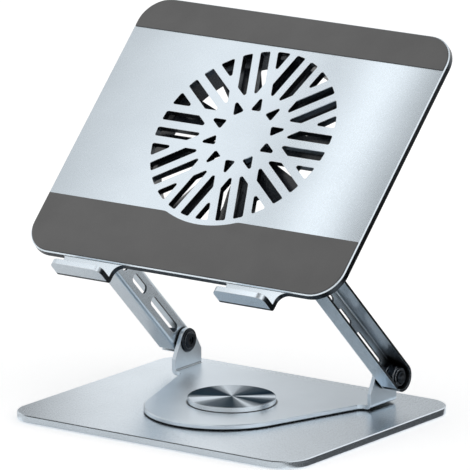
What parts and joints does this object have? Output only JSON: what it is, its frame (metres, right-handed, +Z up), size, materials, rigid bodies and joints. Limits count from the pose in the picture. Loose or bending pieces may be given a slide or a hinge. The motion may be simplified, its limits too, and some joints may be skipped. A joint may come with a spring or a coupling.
{
  "type": "laptop stand",
  "caption": "Folding laptop stand: base plate, swivelling turntable, slotted channel arms and a tilting tray with ledge hooks, silicone pads and a fan behind a star grille.",
  "frame": {"origin": "centre of the base plate's footprint, on the surface that the feet stand on", "axes": "+X to the right and +Y to the back of the stand, +Z up; the tray is drawn raised for use at 45 degrees"},
  "size_m": [0.26, 0.2, 0.2656],
  "materials": {
    "base_metal": "satin silver coat on a thick steel plate, bevelled edge",
    "silver_aluminium": "fine bead-blasted and anodised silver sheet",
    "spun_aluminium": "turned face with fine concentric lines",
    "plain_steel": "bare turned steel",
    "black_steel": "black zinc plated steel",
    "white_nylon": "natural nylon",
    "black_nylon": "filled black nylon",
    "grey_silicone": "matte grey silicone sheet",
    "foot_rubber": "matte black rubber",
    "fan_plastic": "moulded black plastic",
    "bronze": "sintered bronze",
    "copper_wire": "enamelled copper windings",
    "circuit_board": "lacquered circuit board",
    "lead_cover": "soft black insulation",
    "socket_shell": "plated steel shell",
    "ferrite": "plain ferrite"
  },
  "bodies": {
    "base": {"base_plate": "base_metal", "base_feet": "foot_rubber", "swivel_hub": "plain_steel", "hub_screws": "plain_steel", "slide_ring": "white_nylon", "friction_ring": "black_nylon", "retaining_plate": "plain_steel", "retainer_screws": "plain_steel", "swivel_cap": "spun_aluminium"},
    "turntable": {"turntable_plate": "silver_aluminium", "swivel_bush": "white_nylon"},
    "arms": {"left_arm": "silver_aluminium", "right_arm": "silver_aluminium", "lower_pivot_bolts": "black_steel", "lower_friction_washers": "black_nylon", "lower_nut_washers": "black_steel", "lower_lock_nuts": "black_steel", "upper_pivot_bolts": "black_steel", "upper_friction_washers": "black_nylon", "upper_nut_washers": "black_steel", "upper_lock_nuts": "black_steel"},
    "tray": {"tray_plate": "silver_aluminium", "lower_pad": "grey_silicone", "upper_pad": "grey_silicone", "left_bracket": "silver_aluminium", "right_bracket": "silver_aluminium", "bracket_screws": "black_steel", "fan_frame": "fan_plastic", "fan_screws": "black_steel", "fan_bearing": "bronze", "stator_core": "plain_steel", "stator_coils": "copper_wire", "motor_board": "circuit_board", "fan_lead": "lead_cover", "power_socket": "socket_shell"},
    "impeller": {"impeller": "fan_plastic", "fan_shaft": "plain_steel", "magnet_ring": "ferrite"}
  },
  "joints": [
    {"name": "swivel", "type": "hinge", "parent": "base", "child": "turntable", "pos_m": [0, 0, 0.0072], "axis": [0, 0, 1], "continuous": true},
    {"name": "arm_fold", "type": "hinge", "parent": "turntable", "child": "arms", "pos_m": [0, 0.0615, 0.0295], "axis": [1, 0, 0], "range_deg": [-25, 35]},
    {"name": "tray_tilt", "type": "hinge", "parent": "arms", "child": "tray", "pos_m": [0, -0.03485, 0.1232], "axis": [1, 0, 0], "range_deg": [-75, 5]},
    {"name": "fan_spin", "type": "hinge", "parent": "tray", "child": "impeller", "pos_m": [0, 0.01316, 0.19525], "axis": [0, -0.7071, 0.7071], "continuous": true}
  ]
}
